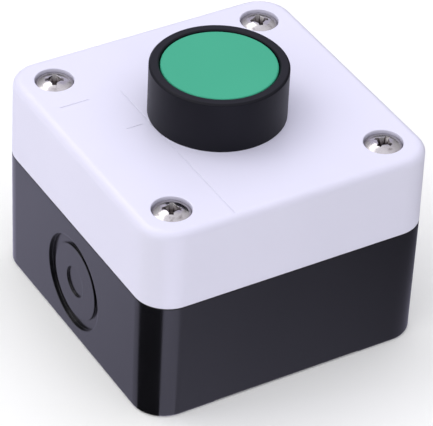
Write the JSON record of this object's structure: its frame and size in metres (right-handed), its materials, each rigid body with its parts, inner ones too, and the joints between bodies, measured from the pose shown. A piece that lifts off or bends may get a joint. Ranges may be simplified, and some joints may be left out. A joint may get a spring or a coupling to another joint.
{
  "type": "industrial push button",
  "caption": "One-hole push button control station: black base box, pale cover with corner screws, and a flush green spring-return button in a raised black bezel.",
  "frame": {"origin": "middle of the box, on the plane of its four corner feet", "axes": "+Z out of the cover along the button's axis; the cable knock-outs are in the +X and -X walls"},
  "size_m": [0.0664, 0.0664, 0.0587],
  "materials": {
    "base_plastic": "moulded black, glossy",
    "cover_plastic": "moulded light grey-white, semi-gloss",
    "bezel_plastic": "moulded black, fine satin",
    "cap_green": "moulded green, satin",
    "block_plastic": "moulded grey, satin",
    "pusher_plastic": "moulded green, matte",
    "screw_steel": "stainless, polished",
    "zinc_steel": "zinc plated",
    "spring_steel": "drawn wire",
    "brass": "bright",
    "contact_silver": "silver alloy",
    "seal_rubber": "matte black"
  },
  "bodies": {
    "enclosure": {"base_box": "base_plastic", "cover": "cover_plastic", "cover_gasket": "seal_rubber", "cover_screws": "screw_steel", "threaded_inserts": "brass", "bezel_body": "bezel_plastic", "bezel_gasket": "seal_rubber", "plunger_seal": "seal_rubber", "locating_washer": "zinc_steel", "fixing_nut": "bezel_plastic", "return_spring": "spring_steel", "mounting_adapter": "bezel_plastic", "lock_screw": "zinc_steel", "contact_housing": "block_plastic", "contact_lid": "block_plastic", "fixed_contacts": "brass", "fixed_tips": "contact_silver", "terminal_screws": "zinc_steel", "terminal_clamps": "zinc_steel", "carrier_spring": "spring_steel"},
    "button": {"button_cap": "cap_green", "plunger": "bezel_plastic", "retaining_clip": "spring_steel"},
    "pusher": {"contact_pusher": "pusher_plastic"},
    "bridge": {"contact_bridge": "brass", "bridge_tips": "contact_silver", "contact_spring": "spring_steel"}
  },
  "joints": [
    {"name": "button_press", "type": "slide", "parent": "enclosure", "child": "button", "axis": [0, 0, -1], "range_m": [0, 0.004], "stiffness_N_per_m": 1000, "springref_m": -0.003, "deforming": ["return_spring"]},
    {"name": "pusher_slide", "type": "slide", "parent": "enclosure", "child": "pusher", "axis": [0, 0, -1], "range_m": [0, 0.004], "stiffness_N_per_m": 200, "springref_m": -0.003, "deforming": ["carrier_spring"]},
    {"name": "bridge_slide", "type": "slide", "parent": "enclosure", "child": "bridge", "axis": [0, 0, -1], "range_m": [0, 0.0026], "deforming": ["contact_spring"]}
  ],
  "couplings": [
    {"joint": "pusher_slide", "follows": "button_press", "ratio": 1},
    {"joint": "bridge_slide", "follows": "button_press", "ratio": 0.65}
  ]
}
